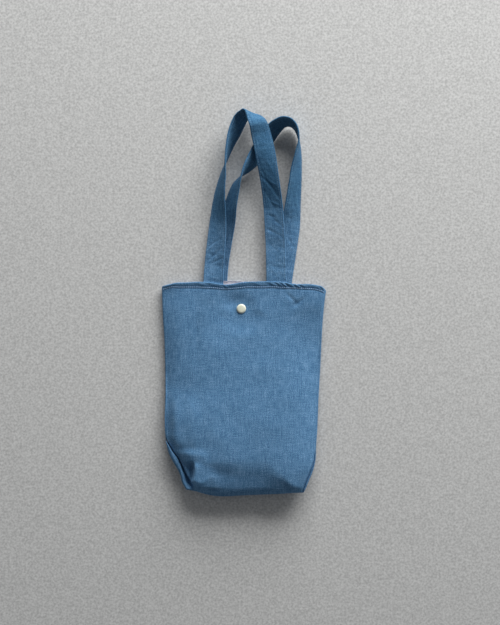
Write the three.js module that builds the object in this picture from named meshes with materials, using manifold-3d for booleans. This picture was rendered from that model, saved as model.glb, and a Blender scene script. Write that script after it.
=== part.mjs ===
// Small linen tote bag lying on its back: boxed lower end, hemmed mouth held by a press stud,
// pale cotton lining and two flat strap handles that lie above the mouth.
// Millimetres, +Z up. The origin is on the ground under the middle of the body,
// +Y runs up the bag towards the handles.
import * as THREE from 'three'
import Module from 'manifold-3d'
import { mergeVertices } from 'three/addons/utils/BufferGeometryUtils.js'

const wasm = await Module()
wasm.setup()

// Body
const bodyHeight = 265.5
const mouthWidth = 205
const waistWidth = 190
const gussetDepth = 50
const mouthThickness = 9.2
const bodySkew = 4
const rimBow = 1.6
const cornerDrop = 2.6
const endBow = 4
const seamRadius = 2.4
const cornerRoll = 4

// Cloth
const shellWall = 0.8
const liningWall = 0.4
const layerGap = 0.3
const hemHeight = 6.2
const hemBulge = 0.5
const liningDrop = 0.4

// Lower left corner, where the gusset is folded in
const lipWidth = 6
const foldRun = 9

// Press stud
const studX = -4.5
const studBelowRim = 33
const capDiameter = 12.4
const capDome = 1.9
const capEdge = 0.7
const backCapHeight = 1.3
const postDiameter = 2.6
const postClearance = 0.3
const studDiameter = 4.2
const studHeight = 1.9
const flangeDiameter = 10.4
const flangeHeight = 0.7
const socketHeight = 2.4
const studClearance = 0.25
const seatRadius = 11.2
const seatBlend = 15
const seatColumn = 7.8
const seatRowAbove = 17
const seatRowBelow = 20

// Handles
const strapWidth = 25
const strapThickness = 2
const strapChamfer = 0.5
const strapSteps = 72
const handleLeftX = -39.4
const handleRightX = 39.2
const backHandleShift = 5.5
const leanOver = 38
const overlapClearance = 1.2

// Grid of the body panels
const fanSteps = 3
const edgeColumns = [0, 4, 8, 14]
const innerColumns = [-66, -49, -32, studX - seatColumn, studX + seatColumn, 32, 49, 66]

const frontMouthY = bodyHeight / 2
const baseWidth = waistWidth - gussetDepth + 2 * cornerRoll
const bodyDepth = gussetDepth / 2 + 1.5
const endSeamHeight = gussetDepth / 4
const studY = frontMouthY - studBelowRim
const liningDepth = shellWall + layerGap
const insideDepth = liningDepth + liningWall
const degree = Math.PI / 180

function smoothstep(from, to, value) {
  return THREE.MathUtils.smoothstep(value, from, to)
}

function mix(a, b, share) {
  return THREE.MathUtils.lerp(a, b, share)
}

// Outline of the body, as a function of t, from 0 at the mouth to 1 at the lower end
const gussetStart = 1 - (gussetDepth * 1.46) / bodyHeight

function halfWidth(t) {
  if (t < gussetStart) return mix(waistWidth, mouthWidth, (1 - t / gussetStart) ** 1.5) / 2
  const corner = ((t - gussetStart) / (1 - gussetStart)) ** 1.45
  return mix(waistWidth, baseWidth, corner) / 2
}

function centreX(t) {
  return -1.2 - bodySkew * Math.sin(Math.PI * t ** 1.5)
}

function rimY(s) {
  return frontMouthY - rimBow * s ** 2 - cornerDrop * s ** 8
}

function endY(s) {
  return -bodyHeight / 2 + endBow * Math.abs(s) ** 3
}

// Heights of the two faces that the cloth is wrapped round
function seamHeight(t) {
  return mix(mouthThickness / 2, endSeamHeight, smoothstep(0.35, 0.95, t))
}

function depthAt(t) {
  return mix(mouthThickness, bodyDepth, smoothstep(0, 0.86, t))
}

function nearStud(x, y) {
  const away = Math.max(0, Math.hypot(x - studX, y - studY) - seatRadius)
  return 1 - smoothstep(0, seatBlend, away)
}

const backSeat = backCapHeight + layerGap
const flangeBottom = backSeat + insideDepth + layerGap
const socketBottom = flangeBottom + flangeHeight + layerGap
const socketTop = socketBottom + socketHeight
const frontSeat = socketTop + layerGap + insideDepth

function frontCore(x, y, s, t) {
  const crown = 1 - Math.abs(s) ** mix(5, 2.5, smoothstep(0.1, 0.8, t))
  const inset = x - (centreX(t) - halfWidth(t)) - seamRadius
  const stepped = Math.max(
    crown * smoothstep(lipWidth - 2, lipWidth + 3, inset),
    0.55 * smoothstep(lipWidth - 2, lipWidth + foldRun, inset)
  )
  const folded = smoothstep(0.74, 0.82, t) * (1 - smoothstep(0.95, 0.99, t))
  const cross = mix(crown, Math.max(stepped, 0.05 * inset / lipWidth), x < 0 ? folded : 0)
  const end = 1 - smoothstep(0, 1, (t - 0.88) / 0.12) ** 1.4
  const seam = seamHeight(t) + layerGap / 2
  const open = seam + (depthAt(t) - seamRadius - seam) * cross * end
  return mix(open, frontSeat - seamRadius, nearStud(x, y))
}

function backCore(x, y, s, t) {
  const flat = (1 - smoothstep(0.82, 1, Math.abs(s))) * (1 - smoothstep(0.91, 1, t))
  const seam = seamHeight(t) - layerGap / 2
  const open = mix(seam, seamRadius, flat)
  return open + backSeat * nearStud(x, y)
}

// One point of the core, by its distance across and its share of the way down
function corePoint(side, x, t) {
  const left = centreX(t) - halfWidth(t) + seamRadius
  const right = centreX(t) + halfWidth(t) - seamRadius
  const s = THREE.MathUtils.clamp((2 * (x - left)) / (right - left) - 1, -1, 1)
  const y = mix(rimY(s), endY(s) + seamRadius, t)
  const core = side > 0 ? frontCore : backCore
  return new THREE.Vector3(x, y, core(x, y, s, t))
}

function columnX(column, t) {
  const left = centreX(t) - halfWidth(t) + seamRadius
  const right = centreX(t) + halfWidth(t) - seamRadius
  const last = 2 * edgeColumns.length + innerColumns.length - 1
  if (column < edgeColumns.length) return left + edgeColumns[column]
  if (column > last - edgeColumns.length) return right - edgeColumns[last - column]
  const share = innerColumns[column - edgeColumns.length]
  const straight = share < 0 ? left + edgeColumns.at(-1) : right - edgeColumns.at(-1)
  const reach = (mouthWidth / 2 - edgeColumns.at(-1)) * Math.sign(share)
  return mix(share, (share * straight) / reach, smoothstep(0.2, 0.7, t))
}

function coreNormal(side, x, t) {
  const step = 0.4
  const here = corePoint(side, x, t)
  const across = corePoint(side, x + (x > 0 ? -step : step), t).sub(here)
  const down = corePoint(side, x, t + (t > 0.5 ? -0.002 : 0.002)).sub(here)
  const normal = across.cross(down).normalize()
  return normal.z * side < 0 ? normal.negate() : normal
}

function outward(edge, t) {
  const step = 0.004
  const from = Math.max(0, t - step)
  const to = Math.min(1, t + step)
  const edgeX = (at) => centreX(at) + edge * halfWidth(at)
  const slope = (edgeX(to) - edgeX(from)) / ((to - from) * bodyHeight)
  return new THREE.Vector3(edge, edge * slope, 0).normalize()
}

const studRow = (offset) => (studBelowRim + offset) / bodyHeight
const panelRows = [
  0, hemHeight / bodyHeight, (hemHeight + 1.2) / bodyHeight, studRow(-seatRowAbove), studRow(-seatColumn),
  studRow(seatColumn), studRow(seatRowBelow), 0.27, 0.36, 0.45, 0.54, 0.63, 0.7, 0.75, 0.8, 0.85, 0.89,
  0.925, 0.955, 0.98, 1
]

// One surface of a panel: the core moved out along its normal, with a round edge at the seams
function panelSurface(side, depth, drop) {
  const columns = 2 * edgeColumns.length + innerColumns.length
  const rows = panelRows.length
  const grid = []
  for (let row = 0; row < rows + fanSteps; row++) {
    const line = []
    const t = panelRows[Math.min(row, rows - 1)]
    const endTurn = (Math.max(0, row - rows + 1) / fanSteps) * 90 * degree
    for (let step = -fanSteps; step < columns + fanSteps; step++) {
      const column = THREE.MathUtils.clamp(step, 0, columns - 1)
      const x = columnX(column, t)
      const point = corePoint(side, x, t)
      const sideTurn = (Math.abs(step - column) / fanSteps) * 90 * degree
      const edge = step < 0 ? -1 : 1
      const normal = coreNormal(side, x, t).multiplyScalar(Math.cos(sideTurn) * Math.cos(endTurn))
      normal.addScaledVector(outward(edge, t), Math.sin(sideTurn))
      normal.addScaledVector(new THREE.Vector3(0, -1, 0), Math.sin(endTurn)).normalize()
      const hem = side > 0 && depth === 0 && row < 2 ? hemBulge : 0
      point.addScaledVector(normal, seamRadius - depth + hem)
      if (row === 0) point.y -= drop
      line.push(point)
    }
    grid.push(line)
  }
  return grid
}

// Closed solid between two surfaces of one grid
function gridSolid(outer, inner, flip) {
  const rows = outer.length
  const columns = outer[0].length
  const positions = []
  const triangle = (a, b, c) => {
    const order = flip ? [a, c, b] : [a, b, c]
    for (const point of order) positions.push(point.x, point.y, point.z)
  }
  const quad = (a, b, c, d) => {
    triangle(a, b, c)
    triangle(a, c, d)
  }
  for (let row = 0; row < rows - 1; row++) {
    for (let column = 0; column < columns - 1; column++) {
      const [near, far] = [row, row + 1]
      const [left, right] = [column, column + 1]
      quad(outer[near][left], outer[far][left], outer[far][right], outer[near][right])
      quad(inner[near][left], inner[near][right], inner[far][right], inner[far][left])
    }
  }
  for (let row = 0; row < rows - 1; row++) {
    const right = columns - 1
    quad(outer[row][0], inner[row][0], inner[row + 1][0], outer[row + 1][0])
    quad(outer[row + 1][right], inner[row + 1][right], inner[row][right], outer[row][right])
  }
  for (let column = 0; column < columns - 1; column++) {
    const end = rows - 1
    quad(outer[0][column + 1], inner[0][column + 1], inner[0][column], outer[0][column])
    quad(outer[end][column], inner[end][column], inner[end][column + 1], outer[end][column + 1])
  }
  return welded(new Float32Array(positions))
}

function welded(positions) {
  const geometry = new THREE.BufferGeometry()
  geometry.setAttribute('position', new THREE.BufferAttribute(positions, 3))
  return mergeVertices(geometry, 1e-4)
}

function toManifold(geometry) {
  const bare = geometry.clone()
  bare.deleteAttribute('normal')
  bare.deleteAttribute('uv')
  const merged = mergeVertices(bare, 1e-4)
  return new wasm.Manifold(new wasm.Mesh({
    numProp: 3,
    vertProperties: new Float32Array(merged.attributes.position.array),
    triVerts: new Uint32Array(merged.index.array)
  }))
}

function fromManifold(solid) {
  const mesh = solid.getMesh()
  const geometry = new THREE.BufferGeometry()
  const position = new THREE.BufferAttribute(mesh.vertProperties, 3)
  geometry.setAttribute('position', position)
  geometry.setIndex(new THREE.BufferAttribute(mesh.triVerts, 1))
  return geometry
}

function panel(side, depth, wall, drop) {
  const outer = panelSurface(side, depth, drop)
  const inner = panelSurface(side, depth + wall, drop)
  const solid = gridSolid(outer, inner, side < 0)
  const post = new THREE.CylinderGeometry(
    postDiameter / 2 + postClearance, postDiameter / 2 + postClearance, 2 * bodyDepth, 20)
  post.rotateX(90 * degree)
  post.translate(studX, studY, 0)
  return fromManifold(toManifold(solid).subtract(toManifold(post)))
}

// A turned piece of the press stud, its axis along Z
function turned(profile, z, up) {
  const points = profile.map(([radius, height]) => new THREE.Vector2(radius, height))
  const geometry = new THREE.LatheGeometry(points, 28)
  geometry.rotateX(up > 0 ? 90 * degree : -90 * degree)
  geometry.translate(studX, studY, z)
  return geometry
}

function capProfile(dome, postLength) {
  const radius = capDiameter / 2
  const arc = [[0, -postLength], [postDiameter / 2, -postLength], [postDiameter / 2, 0], [radius, 0],
    [radius, capEdge * 0.6]]
  for (let step = 1; step <= 5; step++) {
    const angle = (step / 6) * 90 * degree
    arc.push([radius * Math.cos(angle), capEdge * 0.6 + (dome - capEdge * 0.6) * Math.sin(angle)])
  }
  arc.push([0, dome])
  return arc
}

const frontCapSeat = frontSeat + layerGap
const frontPost = frontCapSeat - socketTop - postClearance
const backPost = flangeBottom - backCapHeight - postClearance

function frontCap() {
  return turned(capProfile(capDome, frontPost), frontCapSeat, 1)
}

function backCap() {
  return turned(capProfile(backCapHeight, backPost), backCapHeight, -1)
}

function stud() {
  const flange = flangeDiameter / 2
  const neck = studDiameter / 2
  const profile = [[0, 0], [flange, 0], [flange, flangeHeight], [neck - 0.3, flangeHeight],
    [neck - 0.3, flangeHeight + 0.4], [neck, flangeHeight + 0.9], [neck, flangeHeight + studHeight - 0.5],
    [neck - 0.5, flangeHeight + studHeight], [0, flangeHeight + studHeight]]
  return turned(profile, flangeBottom, 1)
}

function socket() {
  const flange = flangeDiameter / 2
  const bore = studDiameter / 2 + studClearance
  const boreDepth = studHeight - layerGap + studClearance
  const profile = [[0, boreDepth], [bore, boreDepth], [bore, 0], [flange - 1, 0], [flange - 0.6, 0.4],
    [flange - 0.6, socketHeight - 0.6], [flange, socketHeight - 0.5], [flange, socketHeight],
    [0, socketHeight]]
  return turned(profile, socketBottom, 1)
}

// Strap handles. Each station is [x, distance above the mouth, roll in degrees, height of the lower edge].
// At roll 0 the outer face looks up. A negative roll lifts the edge that faces the loop, a positive
// one the outer edge.
const rimTop = mouthThickness
const overLean = strapWidth * Math.sin(leanOver * degree) + strapThickness + overlapClearance
const frontRoot = rimTop - insideDepth / 2
const backRoot = strapThickness / 2 + layerGap

const frontRoute = [
  [handleLeftX, 0, 0, frontRoot], [handleLeftX + 1.6, 26, -12, 6], [handleLeftX + 4.4, 56, -24, 4.4],
  [-33.3, 79, -37, 2.2], [-31.6, 107, -58, 1.5], [-27.2, 134, -76, 1.3], [-22.9, 154, -96, 1.3],
  [-18.6, 171, -112, 1.4], [-12.6, 187.5, -128, 1.6], [-5.8, 202.4, -130, 1.8], [0.2, 210.2, -113, 2.6],
  [5, 211, -86, 5], [10.6, 205.8, -54, overLean - 7], [15.6, 197, -31, overLean + 1],
  [20, 182, -12, overLean + 1], [25, 160, 1, overLean + 2.8], [30, 131, 18, overLean - 3],
  [33.8, 104, 19, overLean - 7], [36.6, 71, 12, overLean - 8.5], [38.3, 39, 5, 9.2],
  [handleRightX, 0, 0, frontRoot]
]

const backRoute = [
  [handleLeftX + backHandleShift - 0.9, 0, 0, backRoot], [-32.5, 26, -4, 1.7], [-27.5, 54, -13, 1.5],
  [-22.5, 76, -30, 1.4], [-18, 95, -50, 1.3], [-11.9, 117, -65, 1.3], [-5.4, 130.5, -86, 1.3],
  [1.4, 140.6, -110, 1.3], [10.2, 152.5, -129, 1.3], [22, 171, -141, 1.3], [34, 188.5, -136, 1.3],
  [45.2, 198, -121, 2], [55.4, 198.3, -109, 2.4], [63.4, 190.5, -97, 2], [66.9, 176, -88, 1.5],
  [66.3, 162, -75, 1.3], [63.8, 141, -58, 1.3], [62, 120, -50, 1.3], [59.4, 95, -38, 1.3],
  [56.5, 69, -16, 1.3], [51.9, 39, -6, 1.5], [handleRightX + backHandleShift + 1.2, 0, 0, backRoot]
]

function strapSection() {
  const half = strapWidth / 2
  const thick = strapThickness / 2
  const cut = strapChamfer
  return [[half, -thick + cut], [half, thick - cut], [half - cut, thick], [-half + cut, thick],
    [-half, thick - cut], [-half, -thick + cut], [-half + cut, -thick], [half - cut, -thick]]
}

function strapSolid(route) {
  const centres = route.map(([x, up, roll, edge]) => new THREE.Vector3(
    x, frontMouthY + layerGap + up, edge + (strapWidth / 2) * Math.sin(Math.abs(roll) * degree)))
  const rolls = route.map(([, , roll]) => new THREE.Vector3(roll, 0, 0))
  const centreLine = new THREE.CatmullRomCurve3(centres, false, 'catmullrom', 0.5)
  const rollLine = new THREE.CatmullRomCurve3(rolls, false, 'catmullrom', 0.5)
  const section = strapSection()
  const rings = []
  for (let step = 0; step <= strapSteps; step++) {
    const share = step / strapSteps
    const tangent = centreLine.getTangent(share)
    if (step === 0) tangent.set(0, 1, 0)
    if (step === strapSteps) tangent.set(0, -1, 0)
    const across = new THREE.Vector3(0, 0, 1).cross(tangent).normalize()
    const above = tangent.clone().cross(across)
    const roll = rollLine.getPoint(share).x * degree
    const wide = across.clone().multiplyScalar(Math.cos(roll)).addScaledVector(above, Math.sin(roll))
    const thick = across.multiplyScalar(-Math.sin(roll)).addScaledVector(above, Math.cos(roll))
    const centre = centreLine.getPoint(share)
    rings.push(section.map(([w, h]) => centre.clone().addScaledVector(wide, w).addScaledVector(thick, h)))
  }
  return ringSolid(rings)
}

// Closed solid through a row of rings
function ringSolid(rings) {
  const positions = []
  const push = (...points) => points.forEach((point) => positions.push(point.x, point.y, point.z))
  const count = rings[0].length
  for (let ring = 0; ring < rings.length - 1; ring++) {
    for (let corner = 0; corner < count; corner++) {
      const next = (corner + 1) % count
      const [a, b] = [rings[ring][corner], rings[ring][next]]
      const [c, d] = [rings[ring + 1][next], rings[ring + 1][corner]]
      push(a, b, c, a, c, d)
    }
  }
  const first = rings[0]
  const last = rings.at(-1)
  for (let corner = 1; corner < count - 1; corner++) {
    push(first[0], first[corner + 1], first[corner])
    push(last[0], last[corner], last[corner + 1])
  }
  return welded(new Float32Array(positions))
}

const bag = new THREE.Group()

function add(name, geometry, color, roughness, metalness = 0) {
  const mesh = new THREE.Mesh(geometry, new THREE.MeshStandardMaterial({ color, roughness, metalness }))
  mesh.name = name
  bag.add(mesh)
}

const linen = '#4f7699'
const cotton = '#d9d6df'
const enamel = '#ebe9d8'
const steel = '#b9bbbd'

add('outer_front', panel(1, 0, shellWall, 0), linen, 0.9)
add('outer_back', panel(-1, 0, shellWall, 0), linen, 0.9)
add('lining_front', panel(1, liningDepth, liningWall, liningDrop), cotton, 0.9)
add('lining_back', panel(-1, liningDepth, liningWall, liningDrop), cotton, 0.9)
add('front_handle', strapSolid(frontRoute), linen, 0.9)
add('back_handle', strapSolid(backRoute), linen, 0.9)
add('front_snap_cap', frontCap(), enamel, 0.35)
add('front_snap_socket', socket(), steel, 0.35, 1)
add('back_snap_stud', stud(), steel, 0.35, 1)
add('back_snap_cap', backCap(), enamel, 0.35)

export default bag
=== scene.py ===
# Small blue linen tote bag, lying on its back with both strap handles above the mouth.
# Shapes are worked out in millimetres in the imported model's frame and turned into metres
# when a mesh is made: X to the right, Y up the bag towards the handles, Z up.
import math

import bpy
import bmesh
import numpy as np
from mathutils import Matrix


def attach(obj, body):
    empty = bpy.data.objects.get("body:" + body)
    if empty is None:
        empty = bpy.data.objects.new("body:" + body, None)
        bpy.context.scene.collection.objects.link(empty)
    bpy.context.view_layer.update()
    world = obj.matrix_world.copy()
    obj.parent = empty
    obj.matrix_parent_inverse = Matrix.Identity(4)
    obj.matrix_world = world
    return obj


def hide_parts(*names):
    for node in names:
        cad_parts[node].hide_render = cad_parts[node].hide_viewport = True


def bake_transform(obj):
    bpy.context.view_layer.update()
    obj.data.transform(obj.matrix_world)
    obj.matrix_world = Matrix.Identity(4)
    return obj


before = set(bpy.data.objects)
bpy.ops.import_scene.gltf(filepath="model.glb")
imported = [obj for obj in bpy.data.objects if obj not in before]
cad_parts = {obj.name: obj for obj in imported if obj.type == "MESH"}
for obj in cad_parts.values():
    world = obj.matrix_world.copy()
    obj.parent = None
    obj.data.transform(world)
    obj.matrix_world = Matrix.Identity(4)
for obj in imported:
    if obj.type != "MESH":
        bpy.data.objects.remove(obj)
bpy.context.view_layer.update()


# Small helpers

def linear(hexColour):
    parts = [int(hexColour[i:i + 2], 16) / 255 for i in (1, 3, 5)]
    return tuple(p / 12.92 if p <= 0.04045 else ((p + 0.055) / 1.055) ** 2.4 for p in parts) + (1.0,)


def mix(a, b, share):
    return a + (b - a) * share


def smooth(low, high, value):
    t = np.clip((value - low) / (high - low), 0, 1)
    return t * t * (3 - 2 * t)


def bell(away, half):
    return np.exp(-(away / half) ** 2)


def through(pairs, at):
    # a smooth line through (place, value) pairs, which stand in rising order of place
    place, value = np.array(pairs, float).T
    slope = np.gradient(value, place)
    at = np.clip(at, place[0], place[-1])
    i = np.clip(np.searchsorted(place, at) - 1, 0, len(place) - 2)
    step = place[i + 1] - place[i]
    f = (at - place[i]) / step
    start = (1 + 2 * f) * (1 - f) ** 2 * value[i] + f * (1 - f) ** 2 * step * slope[i]
    return start + f * f * (3 - 2 * f) * value[i + 1] + f * f * (f - 1) * step * slope[i + 1]


def hump(x, y, spot):
    # a soft rise or dent: place, reach along and across its own direction, turn in degrees, height
    cx, cy, along, across, turn, height = spot
    c, s = math.cos(math.radians(turn)), math.sin(math.radians(turn))
    a = ((x - cx) * c + (y - cy) * s) / along
    b = ((y - cy) * c - (x - cx) * s) / across
    return height * np.exp(-a * a - b * b)


def ripple(x, y, seed, size, count=26):
    # gentle unevenness of laid cloth: a sum of waves in all directions, about size mm long
    waves = np.random.default_rng(seed)
    total = np.zeros(np.broadcast(x, y).shape)
    for _ in range(count):
        turn, phase = waves.uniform(0, 2 * math.pi, 2)
        length = size * waves.uniform(0.7, 1.6)
        total += np.sin((x * math.cos(turn) + y * math.sin(turn)) * 2 * math.pi / length + phase)
    return total / math.sqrt(count)


def lengthsAlong(line):
    return np.concatenate([[0], np.cumsum(np.linalg.norm(np.diff(line, axis=0), axis=1))])


def placesAt(at, lengths, line):
    return np.stack([np.interp(at, lengths, line[:, k]) for k in range(3)], axis=1)


def gridFaces(rows, columns, loop=False):
    # four-sided faces between the points of a grid, whose rows may be closed rings
    index = np.arange(rows * columns).reshape(rows, columns)
    if loop:
        index = np.hstack([index, index[:, :1]])
    a, b = index[:-1, :-1].ravel(), index[1:, :-1].ravel()
    c, d = index[1:, 1:].ravel(), index[:-1, 1:].ravel()
    return np.stack([a, b, c, d], axis=1)


def endCaps(rows, columns):
    # the faces that close the first and the last ring of a grid
    return [list(range(columns)), list(range((rows - 1) * columns, rows * columns))]


def normalsOf(points):
    normal = np.cross(np.gradient(points, axis=0), np.gradient(points, axis=1))
    return normal / np.linalg.norm(normal, axis=2, keepdims=True)


def addPiece(name, points, faces, material, cloth=None, caps=()):
    # points in mm; where caps close the faces, all of them are turned outwards
    mesh = bpy.data.meshes.new(name)
    mesh.from_pydata((points.reshape(-1, 3) * 0.001).tolist(), [], faces.tolist() + list(caps))
    if len(caps):
        form = bmesh.new()
        form.from_mesh(mesh)
        for face in list(form.faces)[len(faces):]:
            for edge in face.edges:  # a crisp edge where a cap meets the rest
                edge.smooth = all(other.index >= len(faces) for other in edge.link_faces)
        bmesh.ops.recalc_face_normals(form, faces=form.faces)
        form.to_mesh(mesh)
        form.free()
    mesh.polygons.foreach_set("use_smooth", np.ones(len(mesh.polygons), bool))
    if cloth is not None:  # the cloth's own flat coordinates, in metres, for its weave
        layer = mesh.attributes.new("cloth", "FLOAT_VECTOR", "POINT")
        layer.data.foreach_set("vector", (cloth.reshape(-1, 3) * 0.001).astype(np.float32).ravel())
    mesh.materials.append(material)
    mesh.validate()
    piece = bpy.data.objects.new(name, mesh)
    bpy.context.scene.collection.objects.link(piece)
    return piece


def addNode(tree, kind, settings=None, links=None):
    # settings are for input sockets, by name or number, or else for the node itself
    node = tree.nodes.new(kind)
    for key, value in (settings or {}).items():
        if isinstance(key, int) or key in node.inputs:
            node.inputs[key].default_value = value
        else:
            setattr(node, key, value)
    for key, source in (links or {}).items():
        tree.links.new(source, node.inputs[key])
    return node


def newMaterial(name):
    material = bpy.data.materials.new(name)
    material.use_nodes = True
    tree = material.node_tree
    tree.nodes.clear()
    return material, tree


# Materials

# Yarn-dyed plain-weave linen: dry and matt, with thick and thin yarns that draw fine
# streaks down and across the cloth, and a soft sheen where it turns away.
linenLook = {
    "deep": "#3a6187", "middle": "#5885ac", "pale": "#81a8cc",
    "yarnMm": 1.3,          # real yarns stand 0.7 mm apart, drawn coarser so that they show
    "streakMm": 16, "slubMm": 1.2, "mottleMm": 9, "weaveMm": 0.22, "sheen": 0.18, "roughness": 0.92,
}
# The handles are of the same linen, with painted shade along their middle, where the raised loops turn away
# from the lamp: the shade there, and where it begins and ends along the handle.
handleLook = {**linenLook, "paintedShade": "#b0c7cc", "paintedShadeMm": ((50, 110), (395, 330))}
# Bleached plain-weave cotton: finer and smoother than the linen, with a cool lilac cast.
cottonLook = {
    "deep": "#bdbac8", "middle": "#d9d6df", "pale": "#eceaf0",
    "yarnMm": 1.2, "streakMm": 18, "slubMm": 0.9, "mottleMm": 20, "weaveMm": 0.1,
    "sheen": 0.1, "roughness": 0.88,
}


def wovenCloth(name, look):
    material, tree = newMaterial(name)
    place = addNode(tree, "ShaderNodeAttribute", {"attribute_name": "cloth"}).outputs["Vector"]
    # thick and thin yarns both ways, cloudy dyeing, and single yarns: the size of the spots
    # across and along the cloth in mm, their detail, and how far from the middle they reach
    patterns = {
        "warp": (look["slubMm"], look["streakMm"], 2.0, 0.22),
        "weft": (look["streakMm"], look["slubMm"], 2.0, 0.22),
        "dye": (look["mottleMm"], look["mottleMm"], 3.0, 0.25),
        "yarn": (look["yarnMm"], look["yarnMm"], 1.0, 0.24),
    }
    level = {}
    for pattern, (across, along, detail, reach) in patterns.items():
        scaled = addNode(tree, "ShaderNodeVectorMath", {
            "operation": "MULTIPLY", 1: (1000 / across, 1000 / along, 1000 / across)}, {0: place})
        spots = addNode(tree, "ShaderNodeTexNoise", {
            "Scale": 1.0, "Detail": detail, "Roughness": 0.55}, {"Vector": scaled.outputs[0]})
        level[pattern] = addNode(tree, "ShaderNodeMapRange", {
            "From Min": 0.5 - reach, "From Max": 0.5 + reach}, {"Value": spots.outputs["Fac"]}).outputs[0]
    mixed = [level["warp"]]
    for pattern, part in (("weft", 0.42), ("dye", 0.24), ("yarn", 0.42)):
        mixed.append(addNode(tree, "ShaderNodeMix", {"data_type": "FLOAT", 0: part},
                             {2: mixed[-1], 3: level[pattern]}).outputs[0])
    colour = addNode(tree, "ShaderNodeValToRGB", {}, {"Fac": mixed[-1]})
    for stop, position, tone in zip(colour.color_ramp.elements, (0.22, 0.8), ("deep", "pale")):
        stop.position, stop.color = position, linear(look[tone])
    colour.color_ramp.elements.new(0.5).color = linear(look["middle"])

    tone = colour.outputs["Color"]
    parts = addNode(tree, "ShaderNodeSeparateXYZ", {}, {"Vector": place})
    if "paintedShade" in look:  # painted shade along the handle's middle: one ramp up and one down along it
        ramps = [addNode(tree, "ShaderNodeMapRange", {
            "interpolation_type": "SMOOTHSTEP", "From Min": low / 1000, "From Max": high / 1000,
        }, {"Value": parts.outputs["Y"]}).outputs[0] for low, high in look["paintedShadeMm"]]
        # share of the painted shade, which darkens the cloth's colour along the handle's middle
        held = addNode(tree, "ShaderNodeMath", {"operation": "MULTIPLY"}, {0: ramps[0], 1: ramps[1]})
        tone = addNode(tree, "ShaderNodeMix", {
            "data_type": "RGBA", "blend_type": "MULTIPLY", 7: linear(look["paintedShade"]),
        }, {0: held.outputs[0], 6: tone}).outputs[2]

    # over and under: two sets of waves a yarn apart, in step with each other
    turns = 2 * math.pi * 500 / look["yarnMm"]
    waves = []
    for axis in ("X", "Y"):
        phase = addNode(tree, "ShaderNodeMath", {"operation": "MULTIPLY", 1: turns}, {0: parts.outputs[axis]})
        waves.append(addNode(tree, "ShaderNodeMath", {"operation": "SINE"}, {0: phase.outputs[0]}).outputs[0])
    weave = addNode(tree, "ShaderNodeMath", {"operation": "MULTIPLY"}, {0: waves[0], 1: waves[1]})
    relief = addNode(tree, "ShaderNodeMath", {"operation": "MULTIPLY_ADD", 1: 0.35},
                     {0: weave.outputs[0], 2: mixed[1]})
    bump = addNode(tree, "ShaderNodeBump", {"Strength": 0.6, "Distance": look["weaveMm"] * 0.001},
                   {"Height": relief.outputs[0]})
    shader = addNode(tree, "ShaderNodeBsdfPrincipled", {
        "Roughness": look["roughness"], "IOR": 1.46, "Sheen Weight": look["sheen"],
        "Sheen Roughness": 0.5, "Sheen Tint": linear(look["pale"]), "Specular IOR Level": 0.25,
    }, {"Base Color": tone, "Normal": bump.outputs["Normal"]})
    addNode(tree, "ShaderNodeOutputMaterial", {}, {"Surface": shader.outputs[0]})
    return material


def sewingThread(name, pale, deep):
    # Mercerised cotton thread: two plies twisted together, smoother than the cloth it holds
    material, tree = newMaterial(name)
    place = addNode(tree, "ShaderNodeTexCoord").outputs["Object"]
    twist = addNode(tree, "ShaderNodeTexNoise", {"Scale": 1400.0, "Detail": 1.0}, {"Vector": place})
    colour = addNode(tree, "ShaderNodeValToRGB", {}, {"Fac": twist.outputs["Fac"]})
    for stop, position, tone in zip(colour.color_ramp.elements, (0.35, 0.65), (deep, pale)):
        stop.position, stop.color = position, linear(tone)
    shader = addNode(tree, "ShaderNodeBsdfPrincipled", {"Roughness": 0.62, "Sheen Weight": 0.15},
                     {"Base Color": colour.outputs["Color"]})
    addNode(tree, "ShaderNodeOutputMaterial", {}, {"Surface": shader.outputs[0]})
    return material


def pearlEnamel(name, pale, deep):
    # Baked pearl enamel on a pressed cap: creamy, glossy, faintly cloudy under a clear coat
    material, tree = newMaterial(name)
    place = addNode(tree, "ShaderNodeTexCoord").outputs["Object"]
    cloud = addNode(tree, "ShaderNodeTexNoise", {"Scale": 260.0, "Detail": 3.0}, {"Vector": place})
    colour = addNode(tree, "ShaderNodeValToRGB", {}, {"Fac": cloud.outputs["Fac"]})
    for stop, position, tone in zip(colour.color_ramp.elements, (0.3, 0.7), (deep, pale)):
        stop.position, stop.color = position, linear(tone)
    shader = addNode(tree, "ShaderNodeBsdfPrincipled", {
        "Roughness": 0.34, "IOR": 1.5, "Coat Weight": 0.6, "Coat Roughness": 0.12,
    }, {"Base Color": colour.outputs["Color"]})
    addNode(tree, "ShaderNodeOutputMaterial", {}, {"Surface": shader.outputs[0]})
    return material


def nickelPlate(name, tone):
    # Nickel plate over pressed brass: bright, a little warm, with fine rubbed marks
    material, tree = newMaterial(name)
    place = addNode(tree, "ShaderNodeTexCoord").outputs["Object"]
    marks = addNode(tree, "ShaderNodeTexNoise", {"Scale": 900.0, "Detail": 3.0}, {"Vector": place})
    rough = addNode(tree, "ShaderNodeMapRange", {"To Min": 0.2, "To Max": 0.38},
                    {"Value": marks.outputs["Fac"]})
    bump = addNode(tree, "ShaderNodeBump", {"Strength": 0.2, "Distance": 0.00005},
                   {"Height": marks.outputs["Fac"]})
    shader = addNode(tree, "ShaderNodeBsdfPrincipled", {"Base Color": linear(tone), "Metallic": 1.0},
                     {"Roughness": rough.outputs[0], "Normal": bump.outputs["Normal"]})
    addNode(tree, "ShaderNodeOutputMaterial", {}, {"Surface": shader.outputs[0]})
    return material


blueLinen = wovenCloth("blueLinen", linenLook)
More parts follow.
